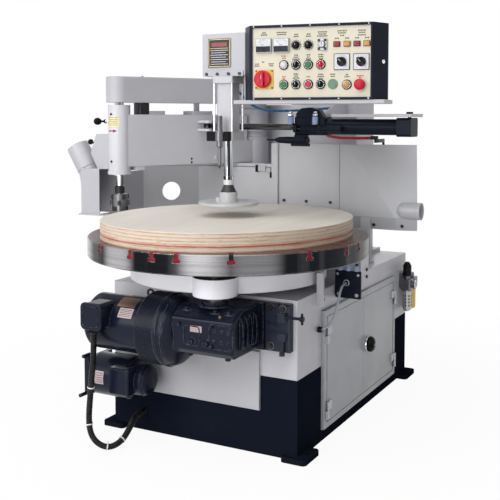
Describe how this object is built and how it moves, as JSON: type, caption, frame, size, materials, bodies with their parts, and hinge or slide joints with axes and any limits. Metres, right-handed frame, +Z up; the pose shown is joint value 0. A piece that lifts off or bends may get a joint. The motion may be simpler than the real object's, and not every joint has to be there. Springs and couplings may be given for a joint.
{
  "type": "duplicating router",
  "caption": "Floor-standing copy router with a geared turntable, pneumatic hold-down, swing-arm cutter spindle, air-cylinder feed, control console and cabinet base.",
  "frame": {"origin": "centre of the four anchor-bolt holes at floor level", "axes": "+X to the right seen from the drive-motor side, +Y to the rear where the column stands, +Z up"},
  "size_m": [1.7179, 1.779, 1.758],
  "materials": {
    "gray_paint": "light warm gray hammer paint",
    "dark_paint": "navy black gloss paint",
    "black_motor": "green black paint",
    "cream_panel": "cream powder coat",
    "table_steel": "ground cast iron",
    "steel": "machined steel",
    "chrome": "hard chrome",
    "red_filler": "red filler strip",
    "template": "template board",
    "plywood": "laminated plywood",
    "black_plastic": "black plastic",
    "gray_plastic": "gray flexible conduit",
    "red_plastic": "red",
    "green_plastic": "green",
    "blue_hose": "blue tube",
    "bolt_steel": "zinc plated"
  },
  "bodies": {
    "frame": {"plinth": "dark_paint", "base_body": "gray_paint", "front_panel": "gray_paint", "cabinet": "gray_paint", "gear_guard": "gray_paint", "slide_plate": "dark_paint", "gearbox": "dark_paint", "drive_motor": "dark_paint", "pump_motor": "dark_paint", "motor_conduit": "gray_plastic", "column": "gray_paint", "overarm": "gray_paint", "hold_cylinder": "steel", "pointer": "steel", "pivot_post": "gray_paint", "chip_guard": "gray_paint", "valve_plate": "dark_paint", "sensor_cable": "gray_plastic", "air_unit": "steel", "air_hose": "blue_hose", "red_harness": "red_plastic", "control_box": "gray_paint", "control_panel": "cream_panel", "panel_fittings": "black_plastic", "frame_bolts": "bolt_steel"},
    "table": {"table": "table_steel", "slot_fillers": "red_filler", "ring_gear": "steel", "template_board": "template", "work_board": "plywood"},
    "pinion": {"pinion": "steel"},
    "arm": {"swing_arm": "gray_paint", "belt_cover": "gray_paint", "spindle_motor": "black_motor", "dust_chute": "gray_paint"},
    "lock_knob": {"lock_knob": "black_plastic"},
    "spindle": {"spindle": "steel", "cutter": "steel"},
    "thrust_cylinder": {"swing_cylinder": "black_motor"},
    "thrust_rod": {"cylinder_rod": "chrome"},
    "press_rod": {"hold_rod": "chrome"},
    "press_disc": {"pressure_disc": "steel"},
    "door_front": {"door_front": "gray_paint"},
    "door_rear": {"door_rear": "gray_paint"},
    "door_knob": {"door_knob": "black_plastic"},
    "clamp_screw": {"clamp_screw": "steel"},
    "regulator_knob": {"regulator_knob": "black_plastic"},
    "start_button_upper": {"start_button_upper": "green_plastic"},
    "start_button_lower": {"start_button_lower": "green_plastic"},
    "halt_button": {"halt_button": "red_plastic"},
    "stop_button": {"stop_button": "red_plastic"},
    "selector_feed": {"selector_feed": "black_plastic"},
    "selector_lock": {"selector_lock": "red_plastic"},
    "selector_table": {"selector_table": "black_plastic"},
    "selector_press": {"selector_press": "black_plastic"},
    "cam_switch_left": {"cam_switch_left": "black_plastic"},
    "cam_switch_right": {"cam_switch_right": "black_plastic"},
    "speed_knob_left": {"speed_knob_left": "black_plastic"},
    "speed_knob_right": {"speed_knob_right": "black_plastic"},
    "main_switch": {"main_switch": "red_plastic"}
  },
  "joints": [
    {"name": "table_spin", "type": "hinge", "parent": "frame", "child": "table", "pos_m": [0, -0.445, 0.8], "axis": [0, 0, 1], "continuous": true},
    {"name": "pinion_spin", "type": "hinge", "parent": "frame", "child": "pinion", "pos_m": [0.16532, -0.84412, 0.7], "axis": [0, 0, 1], "continuous": true},
    {"name": "arm_swing", "type": "hinge", "parent": "frame", "child": "arm", "pos_m": [-0.35, 0.411, 1.2], "axis": [0, 0, 1], "range_deg": [-18, 1.5]},
    {"name": "spindle_spin", "type": "hinge", "parent": "arm", "child": "spindle", "pos_m": [-0.664, -0.35, 1.2], "axis": [0, 0, 1], "continuous": true},
    {"name": "lock_knob_turn", "type": "hinge", "parent": "arm", "child": "lock_knob", "pos_m": [-0.664, -0.35, 1.359], "axis": [-0.9234, -0.3839, 0], "range_deg": [0, 270]},
    {"name": "cylinder_swivel", "type": "hinge", "parent": "frame", "child": "thrust_cylinder", "pos_m": [0.7, -0.06, 1.335], "axis": [0, 0, 1], "range_deg": [-1, 1]},
    {"name": "rod_slide", "type": "slide", "parent": "thrust_cylinder", "child": "thrust_rod", "axis": [-0.9979, 0.0651, 0], "range_m": [-0.012, 0.13]},
    {"name": "hold_down", "type": "slide", "parent": "frame", "child": "press_rod", "axis": [0, 0, 1], "range_m": [-0.05, 0.1]},
    {"name": "disc_spin", "type": "hinge", "parent": "press_rod", "child": "press_disc", "pos_m": [0, -0.445, 1], "axis": [0, 0, 1], "continuous": true},
    {"name": "door_front_hinge", "type": "hinge", "parent": "frame", "child": "door_front", "pos_m": [0.4716, -0.421, 0.3], "axis": [0, 0, -1], "range_deg": [0, 105]},
    {"name": "door_rear_hinge", "type": "hinge", "parent": "frame", "child": "door_rear", "pos_m": [0.4716, 0.447, 0.3], "axis": [0, 0, 1], "range_deg": [0, 105]},
    {"name": "door_knob_turn", "type": "hinge", "parent": "door_rear", "child": "door_knob", "pos_m": [0.464, 0.074, 0.305], "axis": [1, 0, 0], "range_deg": [0, 90]},
    {"name": "clamp_screw_turn", "type": "hinge", "parent": "frame", "child": "clamp_screw", "pos_m": [0.44, -0.737, 0.596], "axis": [1, 0, 0], "range_deg": [-180, 180]},
    {"name": "regulator_turn", "type": "hinge", "parent": "frame", "child": "regulator_knob", "pos_m": [0.486, 0.6, 0.58], "axis": [0, 0, 1], "range_deg": [-170, 170]},
    {"name": "main_switch_turn", "type": "hinge", "parent": "frame", "child": "main_switch", "pos_m": [0.2287, -0.55462, 1.537], "axis": [0.1668, -0.986, 0], "range_deg": [0, 90]},
    {"name": "stop_press", "type": "slide", "parent": "frame", "child": "stop_button", "axis": [-0.1668, 0.986, 0], "range_m": [0, 0.005]},
    {"name": "start_button_upper_press", "type": "slide", "parent": "frame", "child": "start_button_upper", "axis": [-0.1668, 0.986, 0], "range_m": [0, 0.004], "stiffness_N_per_m": 600},
    {"name": "start_button_lower_press", "type": "slide", "parent": "frame", "child": "start_button_lower", "axis": [-0.1668, 0.986, 0], "range_m": [0, 0.004], "stiffness_N_per_m": 600},
    {"name": "halt_button_press", "type": "slide", "parent": "frame", "child": "halt_button", "axis": [-0.1668, 0.986, 0], "range_m": [0, 0.004], "stiffness_N_per_m": 600},
    {"name": "selector_feed_turn", "type": "hinge", "parent": "frame", "child": "selector_feed", "pos_m": [0.36774, -0.5311, 1.594], "axis": [0.1668, -0.986, 0], "range_deg": [-45, 45]},
    {"name": "selector_lock_turn", "type": "hinge", "parent": "frame", "child": "selector_lock", "pos_m": [0.47026, -0.51376, 1.594], "axis": [0.1668, -0.986, 0], "range_deg": [-45, 45]},
    {"name": "selector_table_turn", "type": "hinge", "parent": "frame", "child": "selector_table", "pos_m": [0.36774, -0.5311, 1.514], "axis": [0.1668, -0.986, 0], "range_deg": [-45, 45]},
    {"name": "selector_press_turn", "type": "hinge", "parent": "frame", "child": "selector_press", "pos_m": [0.47026, -0.51376, 1.514], "axis": [0.1668, -0.986, 0], "range_deg": [-45, 45]},
    {"name": "cam_switch_left_turn", "type": "hinge", "parent": "frame", "child": "cam_switch_left", "pos_m": [0.55606, -0.49925, 1.603], "axis": [0.1668, -0.986, 0], "range_deg": [-50, 45]},
    {"name": "cam_switch_right_turn", "type": "hinge", "parent": "frame", "child": "cam_switch_right", "pos_m": [0.63393, -0.48608, 1.602], "axis": [0.1668, -0.986, 0], "range_deg": [-50, 45]},
    {"name": "speed_knob_left_turn", "type": "hinge", "parent": "frame", "child": "speed_knob_left", "pos_m": [0.36774, -0.5311, 1.674], "axis": [0.1668, -0.986, 0], "range_deg": [-150, 150]},
    {"name": "speed_knob_right_turn", "type": "hinge", "parent": "frame", "child": "speed_knob_right", "pos_m": [0.419, -0.52243, 1.674], "axis": [0.1668, -0.986, 0], "range_deg": [-150, 150]}
  ],
  "couplings": [
    {"joint": "pinion_spin", "follows": "table_spin", "ratio": -5.75},
    {"joint": "cylinder_swivel", "follows": "arm_swing", "ratio": 0.0425},
    {"joint": "rod_slide", "follows": "arm_swing", "m_per_rad": -0.396}
  ]
}
